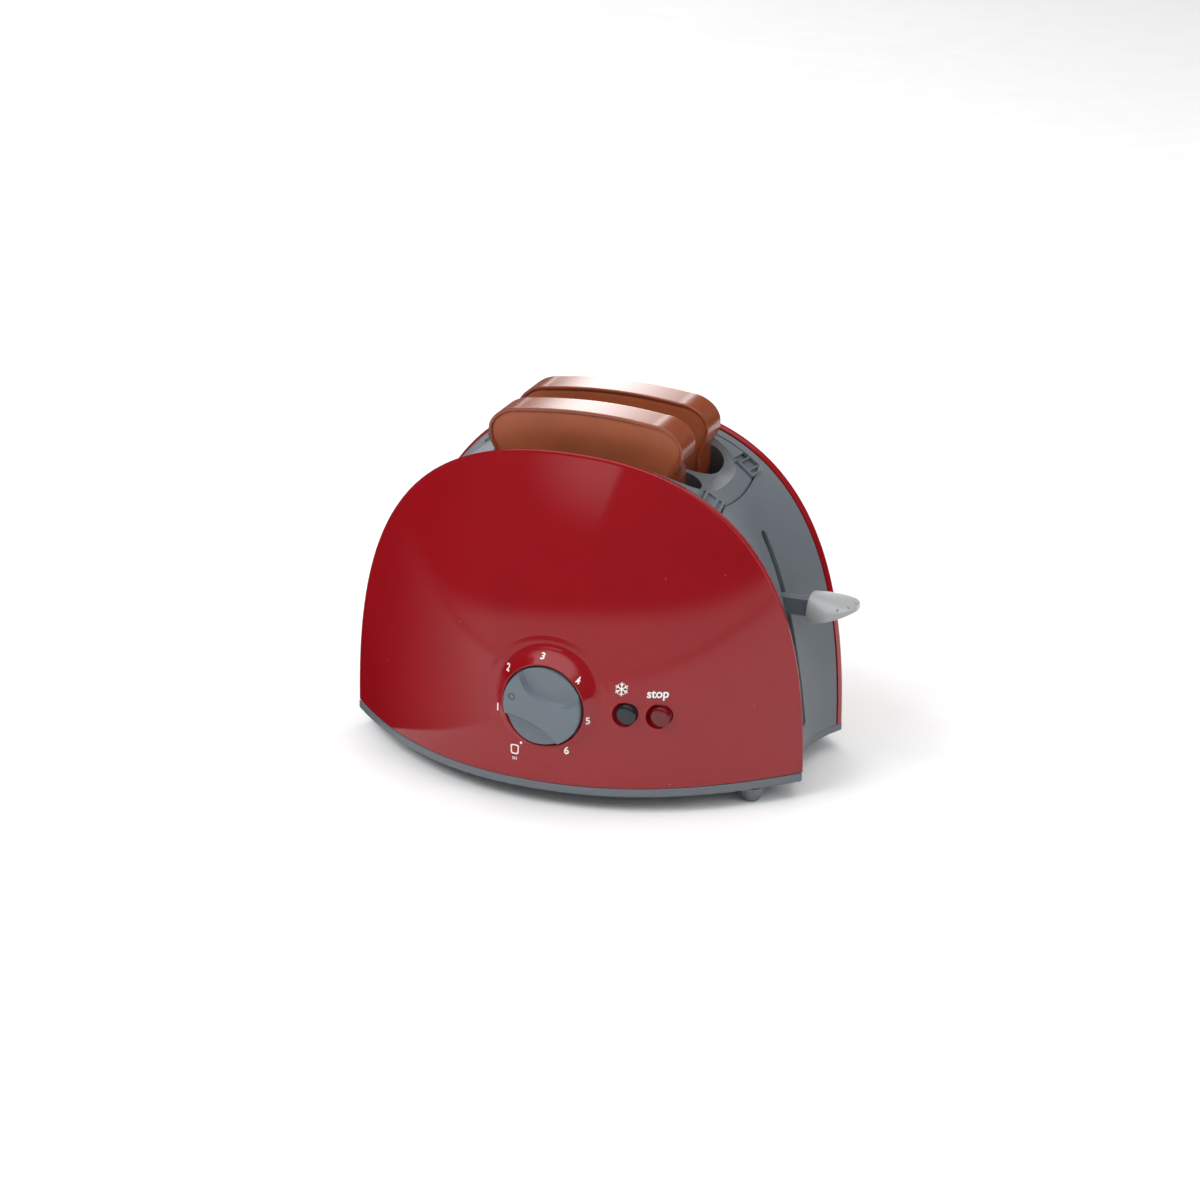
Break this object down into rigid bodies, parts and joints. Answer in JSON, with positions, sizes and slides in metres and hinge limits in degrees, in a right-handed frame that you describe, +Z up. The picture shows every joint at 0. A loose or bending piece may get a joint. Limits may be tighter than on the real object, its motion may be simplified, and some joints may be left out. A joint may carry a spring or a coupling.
{
  "type": "toy toaster",
  "caption": "Toy toaster with domed side shells, a sprung bread lift worked by an end lever, a turning browning dial, push buttons and loose toast slices.",
  "frame": {"origin": "centre of the bounding box in plan, on the ground under the feet", "axes": "+X along the toaster towards the lever, -Y is the front with the dial and the buttons, +Z up"},
  "size_m": [0.2024, 0.1458, 0.145],
  "materials": {
    "shell_red": "high gloss",
    "body_grey": "satin",
    "lever_silver": "satin silver lacquer",
    "dial_grey": "satin",
    "button_black": "gloss",
    "button_red": "gloss",
    "inner_dark": "plain",
    "steel": "bright",
    "toast_brown": "semi gloss"
  },
  "bodies": {
    "base": {"front_shell": "shell_red", "rear_shell": "shell_red", "middle_housing": "body_grey", "top_cover": "body_grey", "base_plate": "body_grey", "foot_right_front": "body_grey", "foot_right_rear": "body_grey", "foot_left_front": "body_grey", "foot_left_rear": "body_grey", "screw_right_front": "steel", "screw_right_rear": "steel", "screw_left_front": "steel", "screw_left_rear": "steel", "control_bracket": "inner_dark", "guide_rod_left": "steel", "guide_rod_right": "steel", "lift_spring_left": "steel", "lift_spring_right": "steel", "defrost_spring": "steel", "stop_spring": "steel"},
    "lift": {"carriage": "body_grey", "lever_knob": "lever_silver"},
    "dial": {"dial": "dial_grey", "dial_retainer": "inner_dark"},
    "defrost_button": {"defrost_button": "button_black"},
    "stop_button": {"stop_button": "button_red"},
    "toast_front": {"toast_front": "toast_brown"},
    "toast_rear": {"toast_rear": "toast_brown"}
  },
  "joints": [
    {"name": "lift_slide", "type": "slide", "parent": "base", "child": "lift", "axis": [0, 0, 1], "range_m": [-0.044, 0.022], "stiffness_N_per_m": 150, "springref_m": 0.0124, "deforming": ["lift_spring_left", "lift_spring_right"]},
    {"name": "dial_turn", "type": "hinge", "parent": "base", "child": "dial", "pos_m": [-0.00196, -0.0693, 0.0419], "axis": [0, -1, 0], "range_deg": [-228, 74]},
    {"name": "defrost_push", "type": "slide", "parent": "base", "child": "defrost_button", "axis": [0, 1, 0], "range_m": [0, 0.002], "stiffness_N_per_m": 300, "springref_m": -0.001},
    {"name": "stop_push", "type": "slide", "parent": "base", "child": "stop_button", "axis": [0, 1, 0], "range_m": [0, 0.002], "stiffness_N_per_m": 300, "springref_m": -0.001},
    {"name": "toast_front_lift_out", "type": "slide", "parent": "lift", "child": "toast_front", "axis": [0, 0, 1], "range_m": [0, 0.1]},
    {"name": "toast_rear_lift_out", "type": "slide", "parent": "lift", "child": "toast_rear", "axis": [0, 0, 1], "range_m": [0, 0.1]}
  ]
}
